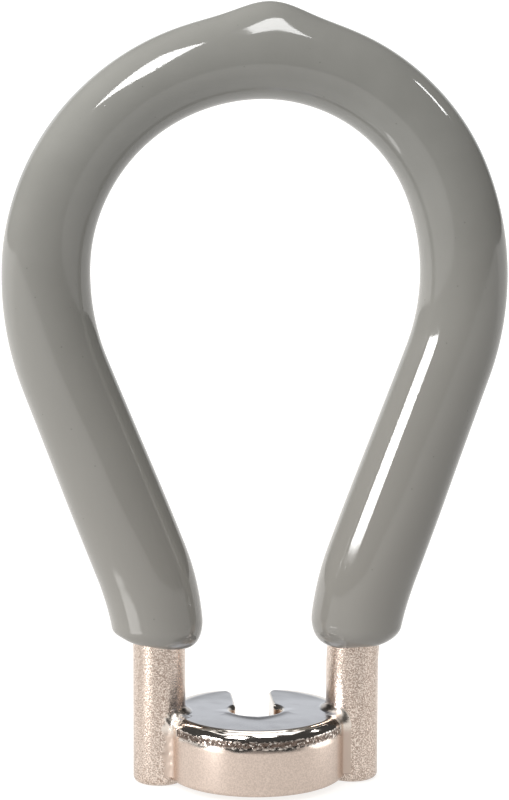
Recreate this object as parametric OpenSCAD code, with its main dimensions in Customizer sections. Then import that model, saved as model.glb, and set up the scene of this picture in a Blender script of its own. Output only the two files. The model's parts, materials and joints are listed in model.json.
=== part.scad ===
// Spoke wrench: a round steel wire bent into a teardrop loop, coated with soft
// vinyl, whose two bare ends are brazed to a C-shaped jaw with a square socket.
// Millimetres. +Z runs from the jaw to the top of the loop and the jaw's mouth opens
// towards +Y. The origin is on the socket's axis, in the plane of the jaw's underside.

/* [Wire loop] */
// Diameter of the round steel wire
wire_d = 4.76; // [4.2:0.02:5.4]
// Distance between the axes of the two upright posts
post_spacing = 17.7; // [17:0.1:18.6]
// Height of the wire's axis at the top of the loop, above the jaw's underside
loop_h = 65.7; // [60:0.1:76]
// Radius of the crown arc, on the wire's axis
crown_r = 18.6; // [17:0.1:20]
// Angle that each half of the crown arc turns through
crown_angle = 71.5; // [60:0.5:80]
// Radius of the wider shoulder arcs, on the wire's axis
shoulder_r = 22.5; // [20:0.5:25]
// Height above the jaw's underside at which the posts start to bend outwards
ankle_h = 11.3; // [10:0.1:13]
// Radius of the bend from post to leg, on the wire's axis
ankle_r = 22; // [16:0.5:26]
// Length by which the posts' feet stand below the jaw's underside
foot_drop = 0.5; // [0.2:0.05:0.8]
// Radius of the rounded edge of each foot
foot_edge = 0.5; // [0.2:0.05:0.9]

/* [Grip coating] */
// Radius of the coating at the top of the loop
coat_crown_r = 3.75; // [3.4:0.05:4.2]
// Radius of the coating where the shoulders meet the straight legs
coat_shoulder_r = 3.95; // [3.5:0.05:4.4]
// Radius of the coating at the foot of the straight legs, its widest place
coat_leg_r = 4.25; // [3.7:0.05:4.6]
// Radius of the coating just above its rounded lower ends
coat_end_r = 3.95; // [3.5:0.05:4.4]
// Radius of the rounded edge at the coating's lower ends
coat_edge = 1.2; // [0.4:0.1:1.4]
// Length of the ankle bend that is left bare below the coating
bare_bend = 1.1; // [0.5:0.1:2]
// Height of the drip tip above the coating at the top of the loop
drip_h = 1.2; // [0.4:0.1:1.8]
// Sideways place of the drip tip, from the middle of the loop
drip_x = 0.9; // [-2:0.1:2]

/* [Jaw] */
// Diameter of the jaw's round body
jaw_d = 16.4; // [15.4:0.1:17]
// Thickness of the jaw
jaw_t = 6; // [5:0.1:6.6]
// Radius of the jaw's rounded upper edge
jaw_top_edge = 1; // [0.4:0.05:1.4]
// Radius of the jaw's rounded lower edge
jaw_low_edge = 0.4; // [0.2:0.05:0.8]

/* [Nipple socket] */
// Width across the flats of the square socket
socket_af = 4.4; // [4:0.05:4.6]
// Diameter of the circle that cuts the socket's corners
socket_corner_d = 5; // [4.7:0.05:5.6]
// Width of the mouth that lets the spoke in
mouth_w = 3.5; // [2.6:0.05:3.8]
// Radius of the prongs' corners, seen from above
prong_corner = 1.6; // [0.6:0.05:1.8]

/* [Brazing] */
// Gap between each post and its seat in the jaw, filled by the braze
braze_gap = 0.12; // [0.05:0.01:0.2]
// Radius of the braze fillets in the corners between post and jaw
braze_fillet = 0.7; // [0.4:0.05:0.9]
// Radius of the braze fillet between post and the jaw's upper face
braze_collar = 0.8; // [0.4:0.05:1]

/* [Hidden] */
$fn = 96;
nickel = [0.80, 0.74, 0.69];
bright_nickel = [0.86, 0.81, 0.76];
vinyl_grey = [0.56, 0.55, 0.53];
// Overrun of every cut past the face that it leaves by
over = 1;
// Neighbouring lengths of bar run this far into each other
lap = 0.1;
// Bends of the wire are this much fuller than its straights, so that no two surfaces coincide
seam_step = 0.02;
wire_r = wire_d / 2;
post_x = post_spacing / 2;
jaw_r = jaw_d / 2;
// Number of short arcs that a bend is made of where the coating's radius changes along it
bend_steps = 6;
// Centres of the crown, shoulder and ankle bends, as x and z
crown_c = [0, loop_h - crown_r];
shoulder_c = crown_c + (crown_r - shoulder_r) * [sin(crown_angle), cos(crown_angle)];
ankle_c = [post_x + ankle_r, ankle_h];
// The straight leg is the line that touches both bends, with one on each side of it
bend_span = norm(shoulder_c - ankle_c);
leg_lean = atan2(shoulder_c.x - ankle_c.x, shoulder_c.y - ankle_c.y) + asin((shoulder_r + ankle_r) / bend_span);
leg_len = sqrt(pow(bend_span, 2) - pow(shoulder_r + ankle_r, 2));
// Share of the coating's change from crown to shoulder that falls in the crown arc
crown_share = crown_r * crown_angle / (crown_r * crown_angle + shoulder_r * (90 + leg_lean - crown_angle));
coat_join_r = coat_crown_r + (coat_shoulder_r - coat_crown_r) * crown_share;
// Each rounded cuff is straight, from this angle along the ankle bend down to the coating's end
cuff_len = coat_edge + 2 * lap;
cuff_angle = (bare_bend + cuff_len) / ankle_r * 180 / PI;
// Half angle of the coating's middle arc, under the drip tip
middle_angle = crown_angle / (bend_steps + 1);
// Radius at the drip tip's middle, and of the arc along its top
drip_r = 0.7 * coat_crown_r;
drip_arc_r = 1.9 * coat_crown_r;

// A bend of round bar in the XZ plane about c = [x, z], with angles from +X towards +Z.
// Its bar radius goes from bar_a at angle a to bar_b at angle b in equal short steps.
module bend(c, arc_r, a, b, bar_a, bar_b, steps = 1) {
    turn = (b - a) / steps;
    lap_angle = lap / arc_r * 180 / PI;
    for (i = [0 : steps - 1])
        translate([c.x, 0, c.y])
            rotate([90, 0, 0])
                rotate([0, 0, a + i * turn - lap_angle])
                    rotate_extrude(angle = turn + 2 * lap_angle)
                        translate([arc_r, 0])
                            circle(r = bar_a + (bar_b - bar_a) * (i + 0.5) / steps);
}

// Puts its children on the ankle bend, the given angle along it, with +Z up the wire
module on_ankle(angle) {
    translate([ankle_c.x - ankle_r * cos(angle), 0, ankle_c.y + ankle_r * sin(angle)])
        rotate([0, angle, 0])
            children();
}

// An upright round bar whose lower end stands at z = 0 with a rounded edge
module round_ended_bar(r, h, edge) {
    rotate_extrude() {
        square([r - edge, h]);
        translate([0, edge])
            square([r, h - edge]);
        translate([r - edge, edge])
            intersection() {
                circle(r = edge);
                translate([0, -edge])
                    square(edge);
            }
    }
}

// Copies its children to both sides of the loop
module both_sides() {
    children();
    mirror([1, 0, 0])
        children();
}

// The bent wire from foot to foot
module bare_wire() {
    bend_bar_r = wire_r + seam_step;
    both_sides() {
        translate([post_x, 0, -foot_drop])
            round_ended_bar(wire_r, foot_drop + ankle_h, foot_edge);
        bend(ankle_c, ankle_r, 180 - leg_lean, 180, bend_bar_r, bend_bar_r);
        on_ankle(leg_lean)
            cylinder(h = leg_len, r = wire_r);
        bend(shoulder_c, shoulder_r, -leg_lean, 90 - crown_angle, bend_bar_r, bend_bar_r);
    }
    bend(crown_c, crown_r, 90 - crown_angle, 90 + crown_angle, wire_r, wire_r);
}

module wire_loop() {
    color(nickel)
        bare_wire();
}

// The pointed drop left at the top of the loop by dipping, a lens along the wire
module drip_tip() {
    translate([drip_x, 0, loop_h + coat_crown_r + drip_h - drip_r])
        rotate([0, 90, 0])
            rotate_extrude()
                intersection() {
                    translate([drip_r - drip_arc_r, 0])
                        circle(r = drip_arc_r);
                    translate([0, -drip_arc_r])
                        square([drip_r, 2 * drip_arc_r]);
                }
}

// The vinyl coating: it thickens down the legs and ends in rounded cuffs
module grip() {
    color(vinyl_grey)
        difference() {
            union() {
                both_sides() {
                    on_ankle(cuff_angle)
                        translate([0, 0, -cuff_len])
                            round_ended_bar(coat_end_r, cuff_len, coat_edge);
                    bend(ankle_c, ankle_r, 180 - leg_lean, 180 - cuff_angle, coat_leg_r, coat_end_r, bend_steps);
                    on_ankle(leg_lean)
                        cylinder(h = leg_len, r1 = coat_leg_r, r2 = coat_shoulder_r);
                    bend(shoulder_c, shoulder_r, -leg_lean, 90 - crown_angle, coat_shoulder_r, coat_join_r, bend_steps);
                    bend(crown_c, crown_r, 90 - crown_angle, 90 - middle_angle, coat_join_r, coat_crown_r, bend_steps);
                }
                bend(crown_c, crown_r, 90 - middle_angle, 90 + middle_angle, coat_crown_r, coat_crown_r);
                drip_tip();
            }
            bare_wire();
        }
}

// The round body of the jaw, with rounded edges and no cuts
module jaw_blank() {
    rotate_extrude() {
        square([jaw_r - jaw_top_edge, jaw_t]);
        translate([0, jaw_low_edge])
            square([jaw_r, jaw_t - jaw_low_edge - jaw_top_edge]);
        square([jaw_r - jaw_low_edge, jaw_t - jaw_top_edge]);
        translate([jaw_r - jaw_top_edge, jaw_t - jaw_top_edge])
            intersection() {
                circle(r = jaw_top_edge);
                square(jaw_top_edge);
            }
        translate([jaw_r - jaw_low_edge, jaw_low_edge])
            intersection() {
                circle(r = jaw_low_edge);
                translate([0, -jaw_low_edge])
                    square(jaw_low_edge);
            }
    }
}

// Plan of what rounds off the corner between the mouth and the jaw's rim, on the +X side
module prong_corner_cut() {
    c = [mouth_w / 2 + prong_corner, sqrt(pow(jaw_r - prong_corner, 2) - pow(mouth_w / 2 + prong_corner, 2))];
    difference() {
        polygon([c, [0, c.y], [0, jaw_r + over], c * (jaw_r + over) / norm(c)]);
        translate(c)
            circle(r = prong_corner);
    }
}

// Plan of the socket and its mouth: a square set corner to corner across the jaw
module socket_plan() {
    intersection() {
        rotate(45)
            square(socket_af, center = true);
        circle(d = socket_corner_d);
    }
    translate([-mouth_w / 2, 0])
        square([mouth_w, jaw_r + over]);
    both_sides()
        prong_corner_cut();
}

// The C-shaped jaw, with a half-round seat for each post
module jaw() {
    color(bright_nickel)
        difference() {
            jaw_blank();
            translate([0, 0, -over])
                linear_extrude(jaw_t + 2 * over)
                    socket_plan();
            both_sides()
                translate([post_x, 0, -over])
                    cylinder(h = jaw_t + 2 * over, r = wire_r + braze_gap);
        }
}

// Plan of the fillet in the corner between the jaw's rim and the +X post, in front
module corner_fillet_plan() {
    rim_reach = jaw_r + braze_fillet;
    post_reach = wire_r + braze_fillet;
    fillet_x = (pow(post_x, 2) + pow(rim_reach, 2) - pow(post_reach, 2)) / (2 * post_x);
    c = [fillet_x, -sqrt(pow(rim_reach, 2) - pow(fillet_x, 2))];
    difference() {
        polygon([[0, 0], c, [post_x, 0]]);
        circle(r = jaw_r);
        translate([post_x, 0])
            circle(r = wire_r);
        translate(c)
            circle(r = braze_fillet);
    }
}

// The braze that joins the +X post to the jaw: film in the seat, corner fillets and collar
module braze() {
    color(bright_nickel) {
        difference() {
            intersection() {
                jaw_blank();
                translate([post_x, 0, -over])
                    cylinder(h = jaw_t + 2 * over, r = wire_r + braze_gap);
            }
            translate([post_x, 0, -2 * over])
                cylinder(h = jaw_t + 4 * over, r = wire_r);
        }
        translate([0, 0, jaw_low_edge])
            linear_extrude(jaw_t - jaw_low_edge - jaw_top_edge) {
                corner_fillet_plan();
                mirror([0, 1, 0])
                    corner_fillet_plan();
            }
        intersection() {
            translate([post_x, 0, jaw_t])
                rotate_extrude()
                    difference() {
                        translate([wire_r, 0])
                            square(braze_collar);
                        translate([wire_r + braze_collar, braze_collar])
                            circle(r = braze_collar);
                    }
            cylinder(h = jaw_t + braze_collar, r = jaw_r - jaw_top_edge);
        }
    }
}

module braze_left() {
    mirror([1, 0, 0])
        braze();
}

module braze_right() {
    braze();
}

wire_loop();
jaw();
braze_left();
braze_right();
grip();
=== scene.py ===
# Looks of the spoke wrench: a dipped vinyl grip on a bent wire whose two plated posts
# are brazed to a C-shaped jaw. Shapes are worked out in millimetres and built in metres.
import json
import math

import bpy
import numpy as np
from mathutils import Matrix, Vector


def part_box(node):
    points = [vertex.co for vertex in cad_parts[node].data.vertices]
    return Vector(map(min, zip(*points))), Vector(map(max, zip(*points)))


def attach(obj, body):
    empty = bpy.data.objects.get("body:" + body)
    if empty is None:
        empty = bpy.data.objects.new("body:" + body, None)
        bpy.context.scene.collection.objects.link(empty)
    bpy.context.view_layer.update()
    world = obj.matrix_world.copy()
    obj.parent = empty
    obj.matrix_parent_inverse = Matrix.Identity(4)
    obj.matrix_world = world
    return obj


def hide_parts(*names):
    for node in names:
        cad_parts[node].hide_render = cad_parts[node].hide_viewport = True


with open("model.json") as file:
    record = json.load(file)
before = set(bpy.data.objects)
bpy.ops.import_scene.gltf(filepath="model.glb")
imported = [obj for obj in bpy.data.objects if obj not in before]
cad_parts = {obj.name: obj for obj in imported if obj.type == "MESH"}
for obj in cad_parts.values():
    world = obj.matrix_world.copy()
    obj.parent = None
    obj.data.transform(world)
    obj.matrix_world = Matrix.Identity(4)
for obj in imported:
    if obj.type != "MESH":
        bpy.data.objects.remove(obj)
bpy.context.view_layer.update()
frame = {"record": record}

MM = 0.001
TINY = 1e-9


# Sizes that come from the frame

def box_mm(name):
    """Lowest and highest corner of a CAD node, in millimetres."""
    low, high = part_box(name)
    return np.array(low) / MM, np.array(high) / MM


mounts = {mount["name"]: mount for mount in frame["record"]["mounts"]}
post_x = mounts["right_foot"]["pos_m"][0] / MM
foot_z = mounts["right_foot"]["pos_m"][2] / MM
jaw_r = -box_mm("jaw")[0][1]
jaw_t = box_mm("jaw")[1][2]
cuff_z = box_mm("grip")[0][2]

# Sizes that the frame doesn't hold, in millimetres and degrees unless said. A name that ends in
# RAMP holds two values: a share grows smoothly from 0 at the first to 1 at the second.

# The wire: its radius, the rounded edge of its feet, its apex, and the bends and the lean of its
# two limbs, which differ a little because the loop is bent by hand
WIRE_R = 2.38
FOOT_EDGE = 0.5
APEX_X = 0.41
APEX_Z = 65.73
LEFT_LIMB = {"crown_r": 19.34, "crown_turn": 88.9, "shoulder_r": 25.04, "lean": 21.44, "ankle_r": 24.04}
RIGHT_LIMB = {"crown_r": 17.85, "crown_turn": 67.86, "shoulder_r": 23.08, "lean": 19.93, "ankle_r": 29.4}

# The coating: its radius at distances from the apex along the wire, evened out over a short way
# to both sides, its slight waviness, and the gap between its bore and the wire
COAT_STATIONS = (0, 13.5, 27, 40.5, 54, 67)
COAT_RADII = (3.82, 3.81, 3.94, 4.07, 4.29, 4.27)
COAT_BLUR = 4
COAT_WAVE = 0.005
COAT_WAVE_LENGTH = 9.0
COAT_WAVE_RAMP = (0, 6)
BORE_GAP = 0.005

# The cuffs: their lips, and how far the left one and the right one tilt and reach up the wire
CUFF_LIP = 2.3
CUFF_R = 4.12
CUFF_R_RAMP = (0, 7)
CUFF_TILTS = (0.46, 0.3)
CUFF_LIFTS = (0.33, 0.17)
CUFF_END_RAMP = (0, 3.0)
CUFF_WAVE = 0.08
CUFF_WAVE_LENGTH = 3.4

# The drip tip, with its width round the wire in radians
DRIP_X = 1.0
DRIP_HEIGHT = 1.07
DRIP_SPREAD = 2.0
DRIP_WIDTH = 0.42

# The jaw's rounded edges, which change towards its back and its mouth
TOP_EDGE = 1.0
BACK_EDGE = 0.4
BACK_EDGE_RAMP = (0.5, 3.5)
LOW_EDGE = 0.4
SOCKET_EDGE = 0.3
MOUTH_EDGE = 0.2
MOUTH_EDGE_RAMP = (1.8, 3.0)
OPENING_RAMP = (-0.8, 0.8)
PRONG_CORNER = 1.6

# The socket and its mouth
SOCKET_AF = 4.4
SOCKET_CORNER_R = 2.42
SOCKET_CORNER_EDGE = 0.5
LEAD_IN_SLOPE = 0.55
MOUTH_W = 3.5
MOUTH_FILLET = 0.25

# The raised lip in front of the socket
SOCKET_LIP = 0.06
SOCKET_LIP_AT = 0.45
SOCKET_LIP_SPREAD = 0.55
SOCKET_LIP_RAMP = (0.4, -1.4)

# The lowered edge at the back of the jaw: how far it drops, and where it does so by distance from
# the rim, by y, and down from half the jaw's thickness to a depth under its top
BACK_DROP = 0.14
DROP_RIM_RAMP = (1.4, 0.1)
DROP_BACK_RAMP = (2.0, 4.0)
DROP_TOP = 0.5

# The rough seam round the jaw's front, between two depths under its top, and the neck above it.
# Its roughness is worked out only near the surface and where it isn't too faint.
SEAM_LOW_RAMP = (1.65, 1.35)
SEAM_HIGH_RAMP = (0.75, 0.95)
SEAM_RIM_RAMP = (0.9, 0.3)
SEAM_FRONT_RAMP = (1.5, -1.5)
SEAM_ROUGH = 0.022
SEAM_ROUGH_LENGTH = 0.5
SEAM_FAINTEST = 0.02
SEAM_REACH = 0.4
SEAM_NECK = 0.08
NECK_RAMP = (2.0, 1.35)

# The posts' seats in the jaw, and the brazes: their fillet, how much their skin is sunk, how far
# they reach from the post and from the jaw, and how deep they overlap both
SEAT_GAP = 0.12
SEAT_EDGE = 0.1
BRAZE_FILLET = 0.8
BRAZE_SUNK = 0.012
BRAZE_FROM_POST = 1.1
BRAZE_FROM_JAW = 1.0
BRAZE_OVERLAP = 0.25

# The droplet on each braze, its height over the jaw's top, and the lumps about it. The left
# braze is lumpy at its front too.
BEAD_X = 6.95
BEAD_Y = -2.85
BEAD_RISE = 0.1
BEAD_R = 0.8
BEAD_SWELL = 0.07
BEAD_LUMPS = 0.02
LUMP_LENGTH = 0.9
SMALL_LUMP_LENGTH = 0.5
SMALL_LUMP_SHARE = 0.6
LEFT_LUMPS = 0.018
LEFT_LUMPS_Y_RAMP = (-0.8, -1.8)
LEFT_LUMPS_Z_RAMP = (0.6, 1.6)

# How fine the meshes are: points on a bend, rings along the wire and vertices round it, rings
# that fill a foot, as shares of the wire's radius, and grid cells of the jaw and the brazes
BEND_POINTS = 160
FOOT_EDGE_RINGS = 9
FOOT_RINGS = (0.02, 0.3, 0.6)
BARE_RINGS = 44
HIDDEN_RINGS = 180
BLUR_STEPS = 9
LIP_RINGS = 15
BODY_RINGS = 420
BORE_RINGS = 160
AROUND = 128
JAW_CELL = 0.11
BRAZE_CELL = 0.08


# Geometry helpers

def mesh_object(name, vertices, faces, normals=None):
    """A smooth-shaded object from millimetre vertices, riding on the one body."""
    mesh = bpy.data.meshes.new(name)
    mesh.from_pydata((np.asarray(vertices) * MM).tolist(), [], [list(face) for face in faces])
    mesh.update()
    mesh.polygons.foreach_set("use_smooth", [True] * len(mesh.polygons))
    if normals is not None:
        mesh.normals_split_custom_set_from_vertices(np.asarray(normals).tolist())
    made = bpy.data.objects.new(name, mesh)
    bpy.context.scene.collection.objects.link(made)
    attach(made, "root")
    return made


def point_values(made, name, values):
    """Keeps one number per vertex, for the materials to read."""
    layer = made.data.attributes.new(name, "FLOAT", "POINT")
    layer.data.foreach_set("value", np.asarray(values, dtype=np.float32))


def ripple(points, wavelength, seed, modes=28, spread=(0.7, 1.4)):
    """Smooth noise between about -1 and 1 at the given points, from seeded waves."""
    draw = np.random.default_rng(seed)
    directions = draw.normal(size=(modes, 3))
    directions /= np.linalg.norm(directions, axis=1)[:, None]
    waves = directions * (2 * math.pi / wavelength) * draw.uniform(*spread, size=(modes, 1))
    phases = draw.uniform(0, 2 * math.pi, size=modes)
    total = np.zeros(points.shape[:-1])
    for wave, phase in zip(waves, phases):
        total += np.sin(points @ wave + phase)
    return total / math.sqrt(modes)


def smooth(low, high, value):
    """0 before low, 1 past high, and a smooth ramp between them."""
    share = np.clip((value - low) / (high - low), 0, 1)
    return share * share * (3 - 2 * share)


def mix(first, second, share):
    """The first value where the share is 0, and the second where it is 1."""
    return first + (second - first) * share


def bell(value):
    """1 at zero, falling off evenly on both sides."""
    return np.exp(-0.5 * value ** 2)


# The wire's centreline

def limb_line(side, crown_r, crown_turn, shoulder_r, lean, ankle_r):
    """One limb from the apex to its foot, closely spaced, in the frame's x and z."""
    points = [np.array([[0.0, 0.0]])]

    def bend(radius, first, last):
        corner = points[-1][-1]
        turn = np.radians(np.linspace(first, last, BEND_POINTS)[1:])
        start = math.radians(first)
        x = corner[0] + radius * (np.sin(turn) - math.sin(start))
        z = corner[1] - radius * (math.cos(start) - np.cos(turn))
        points.append(np.stack([x, z], axis=1))

    def straight(length, heading):
        way = np.array([math.cos(math.radians(heading)), -math.sin(math.radians(heading))])
        points.append(points[-1][-1] + np.linspace(0, length, BEND_POINTS)[1:, None] * way)

    bend(crown_r, 0, crown_turn)
    bend(shoulder_r, crown_turn, 90 + lean)
    reach = points[-1][-1][0] + side * APEX_X
    slope = math.radians(lean)
    straight((reach - post_x - ankle_r * (1 - math.cos(slope))) / math.sin(slope), 90 + lean)
    bend(-ankle_r, 90 + lean, 90)
    straight(points[-1][-1][1] + APEX_Z - foot_z, 90)
    line = np.concatenate(points)
    return np.stack([side * line[:, 0] + APEX_X, line[:, 1] + APEX_Z], axis=1)


left_line = limb_line(-1, **LEFT_LIMB)
right_line = limb_line(1, **RIGHT_LIMB)
wire_line = np.concatenate([left_line[::-1], right_line[1:]])
steps = np.linalg.norm(np.diff(wire_line, axis=0), axis=1)
wire_line = wire_line[np.concatenate([[True], steps > TINY])]
wire_s = np.concatenate([[0], np.cumsum(np.linalg.norm(np.diff(wire_line, axis=0), axis=1))])
wire_len = wire_s[-1]
apex_s = wire_s[wire_line[:, 1].argmax()]
left_cuff_s = cuff_z - foot_z
right_cuff_s = wire_len - left_cuff_s
ring_angles = np.arange(AROUND) * 2 * math.pi / AROUND


def from_cuffs(s):
    """Distance along the wire from the nearer cuff."""
    return np.minimum(s - left_cuff_s, right_cuff_s - s)


def on_wire(s):
    """Centre, outward normal and tangent of the wire at arc lengths s."""
    x = np.interp(s, wire_s, wire_line[:, 0])
    z = np.interp(s, wire_s, wire_line[:, 1])
    tangents = np.gradient(wire_line, wire_s, axis=0)
    tx = np.interp(s, wire_s, tangents[:, 0])
    tz = np.interp(s, wire_s, tangents[:, 1])
    length = np.hypot(tx, tz)
    tx, tz = tx / length, tz / length
    zero = np.zeros_like(x)
    centre = np.stack([x, zero, z], axis=1)
    outward = np.stack([-tz, zero, tx], axis=1)
    tangent = np.stack([tx, zero, tz], axis=1)
    return centre, outward, tangent


def rings(s, radius):
    """Ring vertices at arc lengths s; radius is one number per ring and place around it."""
    centre, outward, _ = on_wire(s)
    spoke = (np.cos(ring_angles)[None, :, None] * outward[:, None, :]
             + np.sin(ring_angles)[None, :, None] * np.array([0, 1, 0]))
    return centre[:, None, :] + radius[..., None] * spoke


def ring_faces(count, closed):
    """Quads between neighbouring rings, and between the last and first when closed."""
    faces = []
    for i in range(count if closed else count - 1):
        a = i * AROUND
        b = ((i + 1) % count) * AROUND
        for j in range(AROUND):
            k = (j + 1) % AROUND
            faces.append((a + j, a + k, b + k, b + j))
    return faces


# Meshes of the wire and the grip

def build_wire():
    """The bent wire from foot to foot, with flat feet and rounded edges."""
    turn = np.linspace(0, math.pi / 2, FOOT_EDGE_RINGS)
    foot_s = FOOT_EDGE * (1 - np.cos(turn))
    foot_r = WIRE_R - FOOT_EDGE * (1 - np.sin(turn))
    bare = np.linspace(FOOT_EDGE, left_cuff_s + CUFF_LIP, BARE_RINGS)[1:]
    hidden = np.linspace(bare[-1], wire_len - bare[-1], HIDDEN_RINGS)[1:-1]
    half_s = np.concatenate([np.zeros(len(FOOT_RINGS)), foot_s, bare])
    half_r = np.concatenate([WIRE_R * np.array(FOOT_RINGS), foot_r, np.full(len(bare), WIRE_R)])
    s = np.concatenate([half_s, hidden, wire_len - half_s[::-1]])
    r = np.concatenate([half_r, np.full(len(hidden), WIRE_R), half_r[::-1]])
    radius = np.repeat(r[:, None], AROUND, axis=1)
    vertices = rings(s, radius).reshape(-1, 3)
    faces = ring_faces(len(s), closed=False)
    last = (len(s) - 1) * AROUND
    faces.append(tuple(range(AROUND - 1, -1, -1)))
    faces.append(tuple(last + j for j in range(AROUND)))
    return mesh_object("wire_skin", vertices, faces)


def coat_radius(s):
    """Radius of the coating at arc lengths s, before the drip and the waviness."""
    away = np.abs(s - apex_s)
    blur = np.linspace(-COAT_BLUR, COAT_BLUR, BLUR_STEPS)
    body = np.mean([np.interp(np.abs(away + step), COAT_STATIONS, COAT_RADII) for step in blur], axis=0)
    return mix(CUFF_R, body, smooth(*CUFF_R_RAMP, from_cuffs(s)))


def build_grip():
    """The dipped sleeve: outside, rounded lips and bore, as one closed skin."""
    bore = WIRE_R + BORE_GAP
    grip_len = right_cuff_s - left_cuff_s
    turn = np.linspace(0, math.pi / 2, LIP_RINGS)
    lip_s = CUFF_LIP * (1 - np.cos(turn))
    body_s = np.linspace(CUFF_LIP, grip_len - CUFF_LIP, BODY_RINGS)[1:-1]
    outer_s = left_cuff_s + np.concatenate([lip_s, body_s, grip_len - lip_s[::-1]])
    lip_share = np.concatenate([np.sin(turn), np.ones(len(body_s)), np.sin(turn)[::-1]])
    outer_r = mix(bore, coat_radius(outer_s), lip_share)
    radius = np.repeat(outer_r[:, None], AROUND, axis=1)

    places = rings(outer_s, radius)
    end_s = from_cuffs(outer_s)
    body_share = smooth(*COAT_WAVE_RAMP, end_s)[:, None]
    radius = radius + COAT_WAVE * body_share * ripple(places, COAT_WAVE_LENGTH, seed=4)
    along = outer_s - apex_s - (DRIP_X - APEX_X)
    from_top = (ring_angles + math.pi) % (2 * math.pi) - math.pi
    tip = bell(along / DRIP_SPREAD)[:, None] * bell(from_top / DRIP_WIDTH)[None, :]
    outer = rings(outer_s, radius + DRIP_HEIGHT * tip)

    end_share = 1 - smooth(*CUFF_END_RAMP, end_s)[:, None]
    lip_wave = CUFF_WAVE * ripple(places, CUFF_WAVE_LENGTH, seed=9)
    on_left = (outer_s < apex_s)[:, None]
    tilt = np.where(on_left, *CUFF_TILTS)
    lift = np.where(on_left, *CUFF_LIFTS)
    slide = end_share * (lip_wave - lift - tilt * np.cos(ring_angles)[None, :])
    _, _, tangent = on_wire(outer_s)
    side = np.where(on_left, -1.0, 1.0)[..., None]
    outer = outer + tangent[:, None, :] * side * slide[..., None]

    bore_s = np.linspace(right_cuff_s, left_cuff_s, BORE_RINGS)[1:-1]
    inner = rings(bore_s, np.full((len(bore_s), AROUND), bore))
    vertices = np.concatenate([outer.reshape(-1, 3), inner.reshape(-1, 3)])
    faces = ring_faces(len(outer_s) + len(bore_s), closed=True)
    return mesh_object("grip_coating", vertices, faces)


# Solids of the jaw and the braze, as distance fields in millimetres

def round_and(a, b, radius):
    """What two fields share, with its edge rounded."""
    corner = np.hypot(np.maximum(a + radius, 0), np.maximum(b + radius, 0))
    return np.minimum(-radius, np.maximum(a, b)) + corner


def round_or(a, b, radius):
    """Two fields joined, with a fillet in their corner."""
    return -round_and(-a, -b, radius)


def below_top(p):
    """Depth of points under the jaw's top."""
    return jaw_t - p[..., 2]


def inside_rim(p):
    """Distance of points inwards from the jaw's round rim, in plan."""
    return jaw_r - np.hypot(p[..., 0], p[..., 1])


def opening_field(p):
    """The socket and its mouth, in plan: a square set corner to corner, and a slot."""
    x, y = p[..., 0], p[..., 1]
    socket = (np.abs(x) + np.abs(y)) / math.sqrt(2) - SOCKET_AF / 2
    socket = round_and(socket, np.hypot(x, y) - SOCKET_CORNER_R, SOCKET_CORNER_EDGE)
    mouth = np.maximum(np.abs(x) - MOUTH_W / 2, -y)
    return round_or(socket, mouth, MOUTH_FILLET)


def jaw_field(p):
    """The jaw with its opening and rounded edges, without the posts' seats."""
    x, y, z = p[..., 0], p[..., 1], p[..., 2]
    rho = np.hypot(x, y)
    rim = rho - jaw_r
    lead_in = rho - SOCKET_CORNER_R + LEAD_IN_SLOPE * (jaw_t - z)
    opening = -np.minimum(opening_field(p), lead_in)
    plan = np.maximum(rim, opening)
    centre_x = MOUTH_W / 2 + PRONG_CORNER
    centre_y = math.sqrt((jaw_r - PRONG_CORNER) ** 2 - centre_x ** 2)
    from_x = np.abs(x) - centre_x
    from_y = y - centre_y
    at_corner = (from_y > 0) & (from_x * centre_y < from_y * centre_x)
    plan = np.where(at_corner, np.hypot(from_x, from_y) - PRONG_CORNER, plan)
    upper = z > jaw_t / 2
    rim_edge = np.where(upper, mix(TOP_EDGE, BACK_EDGE, smooth(*BACK_EDGE_RAMP, y)), LOW_EDGE)
    inner_edge = np.where(upper, mix(SOCKET_EDGE, MOUTH_EDGE, smooth(*MOUTH_EDGE_RAMP, y)), LOW_EDGE)
    edge = mix(rim_edge, inner_edge, smooth(*OPENING_RAMP, opening - rim))
    height = np.abs(z - jaw_t / 2) - jaw_t / 2
    return round_and(plan, height, edge)


def seam_band(p):
    """1 on the jaw's rough seam between its polished upper edge and its satin side."""
    below = below_top(p)
    band = smooth(*SEAM_LOW_RAMP, below) * smooth(*SEAM_HIGH_RAMP, below)
    return band * smooth(*SEAM_RIM_RAMP, inside_rim(p)) * smooth(*SEAM_FRONT_RAMP, p[..., 1])


def post_field(p):
    """Both posts, without their ends."""
    return np.hypot(np.abs(p[..., 0]) - post_x, p[..., 1]) - WIRE_R


def seated_jaw_field(p):
    """The jaw as it is made: uneven on top, with a rough seam, a neck over it and post seats."""
    x, y, z = p[..., 0], p[..., 1], p[..., 2]
    below = below_top(p)
    inward = inside_rim(p)
    lip = bell((opening_field(p) - SOCKET_LIP_AT) / SOCKET_LIP_SPREAD) * smooth(*SOCKET_LIP_RAMP, y)
    drop = BACK_DROP * smooth(*DROP_RIM_RAMP, inward) * smooth(*DROP_BACK_RAMP, y)
    drop *= smooth(jaw_t / 2, DROP_TOP, below)
    body = jaw_field(np.stack([x, y, z - SOCKET_LIP * lip + drop], axis=-1))
    neck = smooth(*NECK_RAMP, below) * smooth(*SEAM_RIM_RAMP, inward)
    body = body + SEAM_NECK * neck * smooth(*SEAM_FRONT_RAMP, y)
    band = seam_band(p)
    rough = (band > SEAM_FAINTEST) & (np.abs(body) < SEAM_REACH)
    body[rough] -= SEAM_ROUGH * band[rough] * ripple(p[rough], SEAM_ROUGH_LENGTH, seed=21)
    seats = post_field(p) - SEAT_GAP
    return round_and(body, -seats, SEAT_EDGE)


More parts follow.
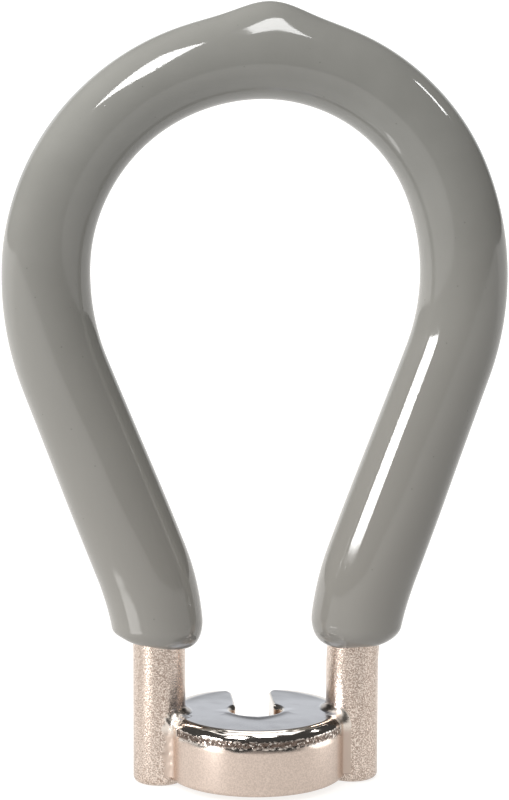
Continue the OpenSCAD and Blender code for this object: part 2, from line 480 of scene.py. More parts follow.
def from_bead(p, side):
    """Distance from the middle of the droplet on the braze at one side."""
    return np.linalg.norm(p - np.array([side * BEAD_X, BEAD_Y, jaw_t + BEAD_RISE]), axis=-1)


def braze_field(p, side):
    """The braze at one post: film in the seat, fillets, collar and a bright droplet."""
    post = np.hypot(p[..., 0] - side * post_x, p[..., 1]) - WIRE_R
    jaw = jaw_field(p)
    lumps = (ripple(p, LUMP_LENGTH, seed=33 + side)
             + SMALL_LUMP_SHARE * ripple(p, SMALL_LUMP_LENGTH, seed=43 + side))
    near_bead = np.exp(-(from_bead(p, side) / BEAD_R) ** 2)
    lumpy = BEAD_LUMPS * near_bead
    if side < 0:
        front = smooth(*LEFT_LUMPS_Y_RAMP, p[..., 1]) * smooth(*LEFT_LUMPS_Z_RAMP, p[..., 2])
        lumpy = lumpy + LEFT_LUMPS * front
    fused = round_or(post, jaw, BRAZE_FILLET) + BRAZE_SUNK - BEAD_SWELL * near_bead - lumpy * lumps
    zone = np.maximum(post - BRAZE_FROM_POST, jaw - BRAZE_FROM_JAW)
    zone = np.maximum(zone, LOW_EDGE - p[..., 2])
    beyond = -BRAZE_OVERLAP - np.minimum(post, np.maximum(jaw, SEAT_GAP - post))
    return np.maximum(np.maximum(fused, zone), beyond)


# Meshes of the jaw and the braze

# How points are drawn onto a surface: rounds at first and after each evening out, the longest
# move of a round in cells, the least squared slope, and the share of each evening out
FIRST_ROUNDS = 5
LATER_ROUNDS = 2
LONGEST_MOVE = 0.6
LEAST_SLOPE = 0.05
EVENING = 0.5


def gradient(field, p, step=0.01):
    """Slope of a field at points p."""
    slope = np.empty_like(p)
    for axis in range(3):
        ahead = p.copy()
        behind = p.copy()
        ahead[:, axis] += step
        behind[:, axis] -= step
        slope[:, axis] = (field(ahead) - field(behind)) / (2 * step)
    return slope


def skin(field, low, high, cell, relax=4):
    """Closed quad mesh of the surface where a field is zero, with its exact normals.

    Every grid cell that the surface crosses gets one vertex, which is drawn onto the
    surface, evened out among its neighbours and drawn onto the surface again.
    """
    low = np.asarray(low, dtype=float)
    counts = np.ceil((np.asarray(high) - low) / cell).astype(int)
    axes = [low[i] + cell * np.arange(counts[i] + 1) for i in range(3)]
    grid = np.stack(np.meshgrid(*axes, indexing="ij"), axis=-1)
    values = np.concatenate([field(grid[i:i + 1]) for i in range(len(grid))])
    inside = values < 0
    shape = tuple(counts)
    corners = np.zeros(shape, dtype=int)
    for dx in (0, 1):
        for dy in (0, 1):
            for dz in (0, 1):
                corners += inside[dx:dx + shape[0], dy:dy + shape[1], dz:dz + shape[2]]
    crossed = (corners > 0) & (corners < 8)
    number = np.full(shape, -1)
    number[crossed] = np.arange(crossed.sum())
    vertices = low + (np.argwhere(crossed) + 0.5) * cell

    quads = []
    for axis in range(3):
        u, v = (axis + 1) % 3, (axis + 2) % 3
        first = np.moveaxis(inside, axis, 0)
        change = np.moveaxis(first[1:].astype(int) - first[:-1].astype(int), 0, axis)
        here = np.argwhere(change != 0)
        here = here[(here[:, u] > 0) & (here[:, v] > 0) & (here[:, u] < shape[u]) & (here[:, v] < shape[v])]
        back_u = np.eye(3, dtype=int)[u]
        back_v = np.eye(3, dtype=int)[v]
        loop = [here - back_u - back_v, here - back_v, here, here - back_u]
        quad = np.stack([number[tuple(cells.T)] for cells in loop], axis=1)
        outwards = change[tuple(here.T)] < 0
        quad[~outwards] = quad[~outwards][:, ::-1]
        quads.append(quad)
    quads = np.concatenate(quads)

    def draw(points, rounds):
        for _ in range(rounds):
            slope = gradient(field, points)
            size = np.maximum(np.sum(slope ** 2, axis=1), LEAST_SLOPE)
            move = -(field(points) / size)[:, None] * slope
            length = np.linalg.norm(move, axis=1)[:, None]
            points = points + move * np.minimum(1, LONGEST_MOVE * cell / np.maximum(length, TINY))
        return points

    vertices = draw(vertices, FIRST_ROUNDS)
    ends = np.concatenate([quads[:, [0, 1]], quads[:, [1, 2]], quads[:, [2, 3]], quads[:, [3, 0]]])
    valence = np.bincount(ends.ravel(), minlength=len(vertices))[:, None]
    for _ in range(relax):
        total = np.zeros_like(vertices)
        for axis in range(3):
            total[:, axis] = (np.bincount(ends[:, 0], vertices[ends[:, 1], axis], len(vertices))
                              + np.bincount(ends[:, 1], vertices[ends[:, 0], axis], len(vertices)))
        middle = total / np.maximum(valence, 1)
        vertices = draw(mix(vertices, middle, EVENING), LATER_ROUNDS)
    normals = gradient(field, vertices)
    normals /= np.maximum(np.linalg.norm(normals, axis=1), TINY)[:, None]
    return vertices, quads, normals


# The top face of the jaw and the brazes, by how far it faces up and by depth under the top
FACING_UP_RAMP = (0.86, 0.99)
NEAR_TOP_RAMP = (0.4, 0.1)

# The jaw: space round it for its grid, where its polish starts, and where its top face ends
JAW_MARGIN = 0.33
POLISH_RAMP = (1.8, 1.5)
POLISH_WANDER = 0.12
POLISH_WANDER_LENGTH = 2.2
FACE_RIM_RAMP = (0.7, 1.2)

# Painted shade on its top face: how much darker it is at the front, at the back and at the back's rim
FRONT_SHADE = 0.13
FRONT_SHADE_RAMP = (-2.4, -5.0)
BACK_SHADE = 0.23
BACK_SHADE_RAMP = (2.0, 4.5)
RIM_SHADE = 0.35
RIM_SHADE_BACK_RAMP = (1.0, 4.0)
RIM_SHADE_RAMP = (2.6, 0.8)
SHADE_WAVE = 0.04
SHADE_WAVE_LENGTH = 2.0

# A braze: its grid's reach, where its polish starts, where the painted shade at its flare lies, and its
# dull droplet
BRAZE_X_REACH = (5.4, 10.6)
BRAZE_Y_REACH = 5.2
BRAZE_RISE = 1.6
BRAZE_POLISH_RAMP = (1.9, 0.9)
FLARE_SHADE_RAMP = (-2.4, -1.2)
DULL_BEAD_R = 1.1


def build_jaw():
    """The plated jaw, with how polished each place is, where its top face lies, and the shade painted on
    that face.
    """
    reach = jaw_r + JAW_MARGIN
    low = (-reach, -reach, -JAW_MARGIN)
    high = (reach, reach, jaw_t + JAW_MARGIN)
    vertices, quads, normals = skin(seated_jaw_field, low, high, JAW_CELL)
    made = mesh_object("jaw_skin", vertices, quads, normals)
    y = vertices[:, 1]
    below = below_top(vertices)
    inward = inside_rim(vertices)
    wander = POLISH_WANDER * ripple(vertices, POLISH_WANDER_LENGTH, seed=5)
    point_values(made, "polish", smooth(*POLISH_RAMP, below - wander))
    top = smooth(*FACING_UP_RAMP, normals[:, 2]) * smooth(*NEAR_TOP_RAMP, below)
    point_values(made, "top_face", top * smooth(*FACE_RIM_RAMP, inward))
    # Painted shade: the top face darker at its front, its back and its back's rim, with a slight wave
    back_rim = smooth(*RIM_SHADE_BACK_RAMP, y) * smooth(*RIM_SHADE_RAMP, inward)
    shade = FRONT_SHADE * smooth(*FRONT_SHADE_RAMP, y) + BACK_SHADE * smooth(*BACK_SHADE_RAMP, y)
    shade = shade + RIM_SHADE * back_rim
    painted_shading = 1 - shade + SHADE_WAVE * ripple(vertices, SHADE_WAVE_LENGTH, seed=8)
    point_values(made, "painted_shading", painted_shading)
    point_values(made, "seam", seam_band(vertices))
    return made


def build_braze(name, side):
    """The braze at one post, with how polished each place is and where shade and a cool reflection are
    painted on it.
    """
    near_x, far_x = sorted(side * x for x in BRAZE_X_REACH)
    low = (near_x, -BRAZE_Y_REACH, 0.0)
    high = (far_x, BRAZE_Y_REACH, jaw_t + BRAZE_RISE)
    vertices, quads, normals = skin(lambda p: braze_field(p, side), low, high, BRAZE_CELL, relax=2)
    made = mesh_object(name, vertices, quads, normals)
    below = below_top(vertices)
    near_top = smooth(*NEAR_TOP_RAMP, below)
    point_values(made, "polish", smooth(*BRAZE_POLISH_RAMP, below))
    point_values(made, "top_face", smooth(*FACING_UP_RAMP, normals[:, 2]) * near_top)
    # Where shade is painted in the flare between the post and the jaw
    point_values(made, "flare_painted_shade", near_top * smooth(*FLARE_SHADE_RAMP, vertices[:, 1]))
    point_values(made, "bead", np.exp(-(from_bead(vertices, side) / DULL_BEAD_R) ** 2))
    return made


# Shader helpers

def new_material(name):
    """An empty material with one Principled shader; also its node tree and the shader."""
    material = bpy.data.materials.new(name)
    material.use_nodes = True
    tree = material.node_tree
    tree.nodes.clear()
    out = tree.nodes.new("ShaderNodeOutputMaterial")
    shader = tree.nodes.new("ShaderNodeBsdfPrincipled")
    tree.links.new(shader.outputs["BSDF"], out.inputs["Surface"])
    return material, tree, shader


def set_material(made, material):
    """Gives an object one material and no other."""
    made.data.materials.clear()
    made.data.materials.append(material)


def set_inputs(tree, made, inputs):
    """Fills a node's inputs; each is a number, a colour or another node's output."""
    for key, value in inputs.items():
        socket = made.inputs[key]
        if isinstance(value, bpy.types.NodeSocket):
            tree.links.new(value, socket)
        else:
            socket.default_value = value


def node(tree, kind, inputs=None, **settings):
    """Adds a shader node with the given inputs and settings."""
    made = tree.nodes.new("ShaderNode" + kind)
    for key, value in settings.items():
        setattr(made, key, value)
    set_inputs(tree, made, inputs or {})
    return made


def sum_of(tree, a, b):
    """Two shader values added."""
    return node(tree, "Math", {0: a, 1: b}, operation="ADD").outputs[0]


def product_of(tree, a, b):
    """Two shader values multiplied."""
    return node(tree, "Math", {0: a, 1: b}, operation="MULTIPLY").outputs[0]


def length_of(tree, vector):
    """Length of a shader vector."""
    return node(tree, "VectorMath", {0: vector}, operation="LENGTH").outputs["Value"]


def part_of(tree, vector, axis):
    """One of a shader vector's X, Y and Z."""
    return node(tree, "SeparateXYZ", {"Vector": vector}).outputs[axis]


def remap(tree, value, low, high, to_low=0.0, to_high=1.0, curve="LINEAR"):
    """Maps low and high to two other values, and holds these past the ends."""
    inputs = {"Value": value, "From Min": low, "From Max": high, "To Min": to_low, "To Max": to_high}
    return node(tree, "MapRange", inputs, interpolation_type=curve).outputs["Result"]


def remap_mm(tree, value, low, high, to_low=0.0, to_high=1.0):
    """The same for a distance, with low and high in millimetres."""
    return remap(tree, value, low * MM, high * MM, to_low, to_high)


def blend_colours(tree, share, first, second):
    """The first colour where the share is 0, and the second where it is 1."""
    return node(tree, "Mix", {0: share, 6: first, 7: second}, data_type="RGBA").outputs[2]


def object_place(tree):
    """The place on the object, in metres."""
    return node(tree, "TexCoord").outputs["Object"]


def vertex_value(tree, name):
    """The number that the mesh keeps at each vertex under this name."""
    return node(tree, "Attribute", attribute_name=name).outputs["Fac"]


def noise(tree, place, size_mm, detail=2.0, roughness=0.5):
    """Noise whose features are about size_mm across."""
    inputs = {"Vector": place, "Scale": 1 / (size_mm * MM), "Detail": detail, "Roughness": roughness}
    return node(tree, "TexNoise", inputs).outputs["Fac"]


def bumped(tree, height, strength, depth_mm, under=None):
    """Normal of a bumpy surface, with the bumps laid over those of another normal."""
    inputs = {"Height": height, "Strength": strength, "Distance": depth_mm * MM}
    if under is not None:
        inputs["Normal"] = under
    return node(tree, "Bump", inputs).outputs["Normal"]


def linear(red, green, blue):
    """Linear colour of a 0 to 255 screen colour, by the sRGB formula."""
    def one(value):
        value = value / 255
        return value / 12.92 if value <= 0.04045 else ((value + 0.055) / 1.055) ** 2.4
    return (one(red), one(green), one(blue), 1.0)


# Materials. Noise sizes are in millimetres. A name that ends in ROUGH holds the roughness at both
# ends of a blend, and one that ends in BUMP a bump's strength and its depth in millimetres.

BLACK = (0.0, 0.0, 0.0, 1.0)
# The middle part of a noise, where most of its values lie
WIDE_MIDDLE = (0.3, 0.7)
MIDDLE = (0.35, 0.65)
NARROW_MIDDLE = (0.4, 0.6)

VINYL_DARK = linear(138, 138, 134)
VINYL_PALE = linear(143, 143, 139)
VINYL_MOTTLE = 6.0
# Low down the vinyl is painted a little warmer, as painted warm bounce light, up to the second of these
# heights
VINYL_PAINTED_WARM_BOUNCE = linear(142, 140, 135)
VINYL_PAINTED_BOUNCE_Z = (20, 60)
VINYL_IOR = 1.58
VINYL_ROUGH = (0.045, 0.09)
VINYL_SMUDGE = 3.0
VINYL_WAVE = 1.6
VINYL_WAVE_BUMP = (0.2, 0.012)
VINYL_GRAIN = 0.2
VINYL_GRAIN_BUMP = (0.3, 0.003)
# Specks of dust in cells of this size, and how far their dark and their bump reach, as a share
DUST_CELL = 1.6
DUST_DARK = linear(96, 93, 90)
DUST_DARK_SHARE = 0.35
DUST_DARK_REACH = (0.03, 0.06)
DUST_BUMP_REACH = (0.02, 0.05)
DUST_BUMP = (0.3, 0.02)


def vinyl():
    """Grey dipped vinyl: glossy, faintly mottled, with a few specks of dust and painted warm bounce light
    low down.
    """
    material, tree, shader = new_material("grey_vinyl")
    place = object_place(tree)
    mottle = noise(tree, place, VINYL_MOTTLE, detail=3.0)
    colour = blend_colours(tree, remap(tree, mottle, *MIDDLE), VINYL_DARK, VINYL_PALE)
    # Painted warm bounce light: the colour turns warmer towards the bottom
    height = remap_mm(tree, part_of(tree, place, "Z"), *VINYL_PAINTED_BOUNCE_Z)
    colour = blend_colours(tree, height, VINYL_PAINTED_WARM_BOUNCE, colour)
    cells = node(tree, "TexVoronoi", {"Vector": place, "Scale": 1 / (DUST_CELL * MM), "Randomness": 1.0})
    to_dust = cells.outputs["Distance"]
    speck = remap(tree, to_dust, *DUST_DARK_REACH, DUST_DARK_SHARE, 0.0)
    colour = blend_colours(tree, speck, colour, DUST_DARK)
    smudge = noise(tree, place, VINYL_SMUDGE, detail=4.0)
    rough = remap(tree, smudge, *WIDE_MIDDLE, *VINYL_ROUGH)
    wave = bumped(tree, noise(tree, place, VINYL_WAVE, detail=1.0), *VINYL_WAVE_BUMP)
    grain = bumped(tree, noise(tree, place, VINYL_GRAIN, detail=1.0), *VINYL_GRAIN_BUMP, under=wave)
    dust = remap(tree, to_dust, *DUST_BUMP_REACH, 1.0, 0.0)
    normal = bumped(tree, dust, *DUST_BUMP, under=grain)
    set_inputs(tree, shader, {"Base Color": colour, "Roughness": rough, "IOR": VINYL_IOR, "Normal": normal})
    return material


def metal(name, paint):
    """A plated metal; paint makes its colour, roughness and normal from its tree and place."""
    material, tree, shader = new_material(name)
    colour, rough, normal = paint(tree, object_place(tree))
    set_inputs(tree, shader, {"Base Color": colour, "Metallic": 1.0, "Roughness": rough, "Normal": normal})
    return material


BLAST_GRAIN = 0.1
BLAST_COARSE_GRAIN = 0.4
BLAST_COARSE_SHARE = 0.8


def blasted(tree, place, strength, depth_mm):
    """Normal of a bead-blasted surface."""
    grain = noise(tree, place, BLAST_GRAIN, detail=1.5, roughness=0.6)
    coarse = noise(tree, place, BLAST_COARSE_GRAIN, detail=1.0)
    height = sum_of(tree, grain, product_of(tree, coarse, BLAST_COARSE_SHARE))
    return bumped(tree, height, strength, depth_mm)


WIRE_DARK = linear(180, 161, 148)
WIRE_PALE = linear(246, 231, 219)
WIRE_GRAIN = 0.11
WIRE_ROUGH = (0.28, 0.18)
WIRE_BUMP = (1.0, 0.02)


def wire_plating(tree, place):
    """Bead-blasted nickel, as on the bare posts."""
    grain = noise(tree, place, WIRE_GRAIN)
    colour = blend_colours(tree, remap(tree, grain, *NARROW_MIDDLE), WIRE_DARK, WIRE_PALE)
    rough = remap(tree, grain, *MIDDLE, *WIRE_ROUGH)
    return colour, rough, blasted(tree, place, *WIRE_BUMP)


JAW_SATIN_DARK = linear(205, 188, 176)
JAW_SATIN_PALE = linear(225, 208, 196)
JAW_POLISHED = linear(226, 218, 210)
# The top face's colour: nickel with a painted cool reflection
JAW_FACE_PAINTED_REFLECTION = linear(211, 212, 219)
JAW_GRAIN = 0.14
JAW_ROUGH = (0.29, 0.08)
JAW_FACE_ROUGHER = 0.12
JAW_BUMP = (0.12, 0.012)
# Dark flecks and pits of the seam; the flecks' share falls off over this part of their noise
SEAM_DARK = linear(92, 74, 64)
SEAM_FLECK = 0.28
SEAM_FLECK_RANGE = (0.54, 0.62)
SEAM_FLECK_SHARE = 0.92
SEAM_PIT = 0.22
SEAM_PIT_BUMP = (0.9, 0.06)


def jaw_plating(tree, place):
    """Nickel that is satin at the side, polished above, and speckled along the seam; its top face has a
    painted cool reflection and painted shade.
    """
    polish = vertex_value(tree, "polish")
    top = vertex_value(tree, "top_face")
    seam = vertex_value(tree, "seam")
    painted_shading = vertex_value(tree, "painted_shading")
    grain = noise(tree, place, JAW_GRAIN)
    satin = blend_colours(tree, remap(tree, grain, *MIDDLE), JAW_SATIN_DARK, JAW_SATIN_PALE)
    colour = blend_colours(tree, polish, satin, JAW_POLISHED)
    # The top face: nickel with a painted cool reflection, darkened by the painted shade
    colour = blend_colours(tree, top, colour, blend_colours(tree, painted_shading, BLACK, JAW_FACE_PAINTED_REFLECTION))
    flecks = noise(tree, place, SEAM_FLECK, detail=3.0, roughness=0.65)
    dull = product_of(tree, seam, remap(tree, flecks, *SEAM_FLECK_RANGE, SEAM_FLECK_SHARE, 0.0))
    colour = blend_colours(tree, dull, colour, SEAM_DARK)
    rough = remap(tree, polish, 0.0, 1.0, *JAW_ROUGH)
    rough = sum_of(tree, rough, product_of(tree, top, JAW_FACE_ROUGHER))
    fine = bumped(tree, grain, *JAW_BUMP)
    pits = noise(tree, place, SEAM_PIT, detail=3.0, roughness=0.7)
    strength, depth_mm = SEAM_PIT_BUMP
    normal = bumped(tree, pits, product_of(tree, seam, strength), depth_mm, under=fine)
    return colour, rough, normal


BRAZE_SATIN = linear(212, 194, 181)
BRAZE_POLISHED = linear(236, 226, 216)
# Painted shade in the flare where the post meets the jaw
BRAZE_FLARE_PAINTED_SHADE = linear(165, 156, 149)
# The top face's colour: nickel with a painted cool reflection
BRAZE_FACE_PAINTED_REFLECTION = linear(205, 206, 212)
BRAZE_ROUGH = (0.42, 0.14)
BRAZE_BUMP = (0.5, 0.016)
# The droplet is rougher by this much, in full where its vertex value reaches the second number
BEAD_ROUGHER = 0.26
BEAD_FULL = 0.7


def braze_plating(tree, place):
    """Nickel over the brazes: polished above, with painted shade at the flare and a painted cool reflection
    on its top face, rough at the droplet.
    """
    polish = vertex_value(tree, "polish")
    bead = vertex_value(tree, "bead")
    colour = blend_colours(tree, polish, BRAZE_SATIN, BRAZE_POLISHED)
    # Painted shade at the flare
    colour = blend_colours(tree, vertex_value(tree, "flare_painted_shade"), colour, BRAZE_FLARE_PAINTED_SHADE)
    # A painted cool reflection on the top face
    colour = blend_colours(tree, vertex_value(tree, "top_face"), colour, BRAZE_FACE_PAINTED_REFLECTION)
    rough = remap(tree, polish, 0.0, 1.0, *BRAZE_ROUGH)
    rough = sum_of(tree, rough, remap(tree, bead, 0.0, BEAD_FULL, 0.0, BEAD_ROUGHER))
    strength, depth_mm = BRAZE_BUMP
    return colour, rough, blasted(tree, place, sum_of(tree, bead, strength), depth_mm)


# Stage, lights and camera

# The camera, as fitted to the photograph: the point it looks at, its angles and distance, its
# focal length in pixels of an image of this height, and its clipping distances in metres
TARGET = np.array([-0.228, 0.0, 34.803])
CAMERA_AZIMUTH = -4.975
CAMERA_PITCH = 10.139
CAMERA_ROLL = 0.222
CAMERA_DISTANCE = 300.0
FOCAL_PIXELS = 3326.9
IMAGE_HEIGHT = 800
SENSOR_MM = 36.0
CLIP_M = (0.01, 20.0)
LIGHT_DISTANCE = 700.0
# The even light that matt colours get from the world: where it comes from, the range of its
# dot product with a direction, and its strength at both ends of that range
SOFT_WAY = (-0.73, 0, 0.68)
SOFT_RANGE = (-0.38, 1.0)
SOFT_LIGHT = (0.0, 2.44)
# The dim room that shiny surfaces mirror, and the bright sweep behind the object, by the y and z
# of a direction, with the share of it that is left high up
ROOM = 0.06
SWEEP = 0.95
SWEEP_Y_RAMP = (0.7, 0.88)
SWEEP_Z_RANGE = (0.24, 0.42)
SWEEP_HIGH = 0.05
WARM_WHITE = (1.0, 0.985, 0.965, 1.0)
COOL_WHITE = (0.97, 0.99, 1.0, 1.0)
WHITE = (1.0, 1.0, 1.0, 1.0)
# Softboxes: azimuth from the viewer's side towards +X, elevation, width and height as angles,
# brightness, and lean in degrees
SOFTBOXES = {
    "top_front": (18, 66.5, 19, 15, 10.0, 0),
    "strip": (-65, 11.1, 25, 6.4, 28.0, -8),
    "right_window": (96, 36.5, 5, 11, 14.0, -20),
}
# The key is an upright window: azimuth, half its width, lowest and highest elevation, brightness
KEY = (-35, 14, 36.5, 61, 16.0)
# The overhead box, given as the softboxes are, lights only the jaw and the brazes
OVERHEAD = (180, 78, 70, 56, 2.0, 0)
# Lamps just above the floor: x and y, width, height and brightness. The far ones light the
# metal's sides and the near ones only the jaw.
LOW_LAMPS = {"low_left": (-63, -38, 11, 7, 7.0), "low_right": (84, -16, 76, 9, 1.4)}
JAW_LAMPS = {"near_left": (-20, -17, 6, 7, 2.2), "near_right": (26, -5, 12, 7, 1.6)}
LOW_LAMP_GAP = 0.1
# A small black card that keeps the strip's reflection off the left limb: place, width, height
FLAG = ((-28, -7, 54.3), 11, 9)
FLAG_BLACK = (0.01, 0.01, 0.01, 1.0)
FLAG_ROUGH = 0.9
# The floor: its front edge, its size, and its own grey
FLOOR_FRONT = -220.0
FLOOR_SIZE = 6000.0
FLOOR_GREY = (0.3, 0.3, 0.3, 1.0)
# Its glow as the camera sees it, near the tool and away from it; the lower glow near the tool paints a
# faint shade round it
FLOOR_SEEN = (0.8, 1.0)
FLOOR_SEEN_RANGE = (30, 250)
# Its glow as matt surfaces get it, on the left and on the right
FLOOR_SOFT = (0.62, 0.05)
FLOOR_SOFT_X = 80
# Its glow as shiny surfaces see it: on the left and on the right, fading towards its front edge,
# brighter behind the tool and brighter close to it
FLOOR_GLOSS = (0.38, 0.21)
FLOOR_GLOSS_X = 60
FRONT_GLOSS_SHARE = 0.5
FRONT_GLOSS_Y = -130
BACK_GLOSS = 0.4
BACK_GLOSS_RANGE = (5, 60)
NEAR_GLOSS = 0.25
NEAR_GLOSS_RANGE = (30, 60)
# A glint painted on it as a glow: x and y, half lengths towards the tool and across, brightness, and where
# its edge starts and ends as a share of them
GLINT_AT = (-36, -19)
GLINT_HALF = (4.5, 10)
GLINT_BRIGHT = 2.8
GLINT_EDGE = (0.85, 1.1)


def direction(azimuth, elevation):
    """Unit vector towards an azimuth and elevation given in degrees."""
    a, e = math.radians(azimuth), math.radians(elevation)
    return np.array([math.sin(a) * math.cos(e), -math.cos(a) * math.cos(e), math.sin(e)])


def looking(towards, roll=0.0):
    """Rotation of a camera or lamp whose -Z looks along the given direction."""
    forward = towards / np.linalg.norm(towards)
    right = np.cross(forward, [0, 0, 1])
    right /= np.linalg.norm(right)
    up = np.cross(right, forward)
    r = math.radians(roll)
    turned_right = right * math.cos(r) + up * math.sin(r)
    turned_up = up * math.cos(r) - right * math.sin(r)
    return Matrix(np.stack([turned_right, turned_up, -forward], axis=1).tolist()).to_4x4()


def placed(place, facing, roll=0.0):
    """Matrix of something at a place in millimetres that looks along a direction."""
    return Matrix.Translation((np.asarray(place) * MM).tolist()) @ looking(facing, roll)


def add_camera():
    """The camera at the photograph's viewing angle."""
    data = bpy.data.cameras.new("camera")
    data.sensor_width = SENSOR_MM
    data.lens = FOCAL_PIXELS * SENSOR_MM / IMAGE_HEIGHT
    data.clip_start, data.clip_end = CLIP_M
    camera = bpy.data.objects.new("camera", data)
    bpy.context.scene.collection.objects.link(camera)
    away = direction(CAMERA_AZIMUTH, CAMERA_PITCH)
    camera.matrix_world = placed(TARGET + away * CAMERA_DISTANCE, -away, CAMERA_ROLL)
    bpy.context.scene.camera = camera


def add_lamp(name, place, facing, width, height, brightness, lean=0.0):
    """A rectangular area lamp, sizes in millimetres, which the camera doesn't see."""
    data = bpy.data.lights.new(name, "AREA")
    data.shape = "RECTANGLE"
    data.size = width * MM
    data.size_y = height * MM
    data.energy = brightness * math.pi * data.size * data.size_y
    lamp = bpy.data.objects.new(name, data)
    bpy.context.scene.collection.objects.link(lamp)
    lamp.matrix_world = placed(place, facing, lean)
    lamp.visible_camera = False
    lamp.visible_diffuse = False
    return lamp


def across(angle):
    """Width of what fills an angle at the lights' distance."""
    return 2 * LIGHT_DISTANCE * math.tan(math.radians(angle / 2))


def add_softbox(name, azimuth, elevation, width, height, brightness, lean):
    """A lamp that faces the object and fills the given angles as seen from it."""
    away = direction(azimuth, elevation)
    place = TARGET + away * LIGHT_DISTANCE
    return add_lamp(name, place, -away, across(width), across(height), brightness, lean)


def add_key(azimuth, half_width, low, high, brightness):
    """An upright window between two azimuths and two elevations."""
    away = direction(azimuth, 0)
    bottom, top = (LIGHT_DISTANCE * math.tan(math.radians(angle)) for angle in (low, high))
    place = TARGET + away * LIGHT_DISTANCE + np.array([0, 0, (bottom + top) / 2])
    add_lamp("key", place, -away, across(2 * half_width), top - bottom, brightness)


def add_low_lamps(lamps):
    """Upright lamps on the floor that face the tool."""
    made = []
    for name, (x, y, width, height, brightness) in lamps.items():
        place = (x, y, foot_z + LOW_LAMP_GAP + height / 2)
        made.append(add_lamp(name, place, np.array([-x, -y, 0]), width, height, brightness))
    return made


def light_only(lamps, name, pieces):
    """Lets lamps light only these pieces, kept in a collection of this name."""
    lit = bpy.data.collections.new(name)
    for piece in pieces:
        lit.objects.link(piece)
    for lamp in lamps:
        lamp.light_linking.receiver_collection = lit


def add_world():
    """Soft light for matt surfaces, a sweep and a dim room for shiny ones, white for the camera."""
    world = bpy.data.worlds.new("studio")
    bpy.context.scene.world = world
    world.use_nodes = True
    tree = world.node_tree
    tree.nodes.clear()
    out = tree.nodes.new("ShaderNodeOutputWorld")
    path = node(tree, "LightPath")
    way = node(tree, "TexCoord").outputs["Generated"]
    behind = remap(tree, part_of(tree, way, "Y"), *SWEEP_Y_RAMP, curve="SMOOTHSTEP")
    low = remap(tree, part_of(tree, way, "Z"), *SWEEP_Z_RANGE, 1.0, SWEEP_HIGH, curve="SMOOTHSTEP")
    sweep = product_of(tree, behind, low)
    gloss = remap(tree, sweep, 0.0, 1.0, ROOM, SWEEP)
    towards = node(tree, "VectorMath", {0: way, 1: SOFT_WAY}, operation="DOT_PRODUCT").outputs["Value"]
    soft = remap(tree, towards, *SOFT_RANGE, *SOFT_LIGHT)
    inputs = {"Factor": path.outputs["Is Glossy Ray"], "A": soft, "B": gloss}
    strength = node(tree, "Mix", inputs).outputs["Result"]
    tint = blend_colours(tree, sweep, WARM_WHITE, COOL_WHITE)
    lit = node(tree, "Background", {"Color": tint, "Strength": strength})
    white = node(tree, "Background", {"Color": WHITE, "Strength": 1.0})
    inputs = {0: path.outputs["Is Camera Ray"], 1: lit.outputs[0], 2: white.outputs[0]}
    mixed = node(tree, "MixShader", inputs)
    set_inputs(tree, out, {"Surface": mixed.outputs[0]})


def floor_gloss(tree, place):
    """What shiny surfaces see of the floor: a painted sheen with one painted glint on it."""
    total = remap_mm(tree, part_of(tree, place, "X"), -FLOOR_GLOSS_X, FLOOR_GLOSS_X, *FLOOR_GLOSS)
    depth = part_of(tree, place, "Y")
    front = remap_mm(tree, depth, FLOOR_FRONT, FRONT_GLOSS_Y, FRONT_GLOSS_SHARE, 1.0)
    total = product_of(tree, total, front)
    total = sum_of(tree, total, remap_mm(tree, depth, *BACK_GLOSS_RANGE, 0.0, BACK_GLOSS))
    near = remap_mm(tree, length_of(tree, place), *NEAR_GLOSS_RANGE, NEAR_GLOSS, 0.0)
    total = sum_of(tree, total, near)
    x, y = GLINT_AT
    middle = (x * MM, y * MM, foot_z * MM)
    offset = node(tree, "VectorMath", {0: place, 1: middle}, operation="SUBTRACT").outputs["Vector"]
    turned = node(tree, "VectorRotate", {"Vector": offset, "Angle": -math.atan2(y, x)},
                  rotation_type="Z_AXIS").outputs["Vector"]
    shares = (1 / (GLINT_HALF[0] * MM), 1 / (GLINT_HALF[1] * MM), 0)
    scaled = node(tree, "VectorMath", {0: turned, 1: shares}, operation="MULTIPLY").outputs["Vector"]
    glint = remap(tree, length_of(tree, scaled), *GLINT_EDGE, GLINT_BRIGHT, 0.0)
    return sum_of(tree, total, glint)


def flat_card(name, left, front, right, back, z):
    """A flat rectangle between the given places in millimetres."""
    corners = [(left, front, z), (right, front, z), (right, back, z), (left, back, z)]
    mesh = bpy.data.meshes.new(name)
    mesh.from_pydata([[c * MM for c in corner] for corner in corners], [], [(0, 1, 2, 3)])
    card = bpy.data.objects.new(name, mesh)
    bpy.context.scene.collection.objects.link(card)
    return card


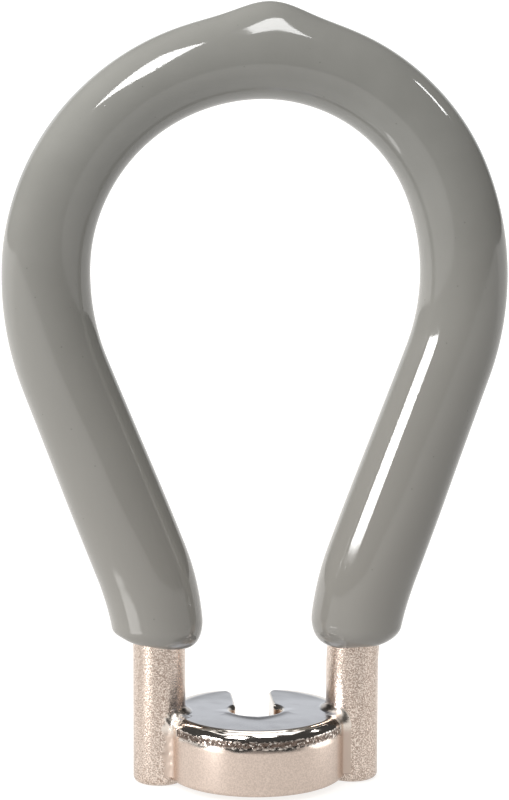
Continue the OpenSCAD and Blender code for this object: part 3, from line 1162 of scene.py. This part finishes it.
def add_floor():
    """A plain pale floor that keeps a soft shadow."""
    half = FLOOR_SIZE / 2
    floor = flat_card("floor", -half, FLOOR_FRONT, half, half, foot_z)
    material = bpy.data.materials.new("floor_paper")
    material.use_nodes = True
    tree = material.node_tree
    tree.nodes.clear()
    out = tree.nodes.new("ShaderNodeOutputMaterial")
    path = node(tree, "LightPath")
    place = object_place(tree)
    # Painted shade: the camera sees less glow near the tool
    away = remap_mm(tree, length_of(tree, place), *FLOOR_SEEN_RANGE, *FLOOR_SEEN)
    seen = product_of(tree, path.outputs["Is Camera Ray"], away)
    gloss = product_of(tree, path.outputs["Is Glossy Ray"], floor_gloss(tree, place))
    soft = remap_mm(tree, part_of(tree, place, "X"), -FLOOR_SOFT_X, FLOOR_SOFT_X, *FLOOR_SOFT)
    matt = product_of(tree, path.outputs["Is Diffuse Ray"], soft)
    strength = sum_of(tree, sum_of(tree, seen, gloss), matt)
    glow = node(tree, "Emission", {"Color": WARM_WHITE, "Strength": strength})
    surface = node(tree, "BsdfDiffuse", {"Color": FLOOR_GREY})
    both = node(tree, "AddShader", {0: surface.outputs[0], 1: glow.outputs[0]})
    set_inputs(tree, out, {"Surface": both.outputs[0]})
    set_material(floor, material)


def add_flag():
    """A black card at the left, out of the camera's sight."""
    place, width, height = FLAG
    flag = flat_card("flag", -width / 2, -height / 2, width / 2, height / 2, 0)
    flag.matrix_world = placed(place, TARGET - np.array(place))
    flag.visible_camera = False
    flag.visible_diffuse = False
    material, tree, shader = new_material("flag_cloth")
    set_inputs(tree, shader, {"Base Color": FLAG_BLACK, "Roughness": FLAG_ROUGH})
    set_material(flag, material)


add_camera()
add_world()
for lamp_name, values in SOFTBOXES.items():
    add_softbox(lamp_name, *values)
add_key(*KEY)
overhead = add_softbox("overhead", *OVERHEAD)
add_floor()
add_flag()
bpy.context.scene.view_settings.view_transform = "Standard"

wire = build_wire()
grip = build_grip()
jaw = build_jaw()
braze_left = build_braze("braze_left_skin", -1)
braze_right = build_braze("braze_right_skin", 1)
set_material(wire, metal("plated_wire_metal", wire_plating))
set_material(grip, vinyl())
set_material(jaw, metal("plated_jaw_metal", jaw_plating))
braze_metal = metal("plated_braze_metal", braze_plating)
set_material(braze_left, braze_metal)
set_material(braze_right, braze_metal)
light_only([overhead], "head", (jaw, braze_left, braze_right))
light_only(add_low_lamps(LOW_LAMPS), "metal", (wire, jaw))
light_only(add_low_lamps(JAW_LAMPS), "jaw_side", (jaw,))
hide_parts("wire_loop")
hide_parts("grip")
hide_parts("jaw")
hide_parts("braze_left")
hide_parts("braze_right")
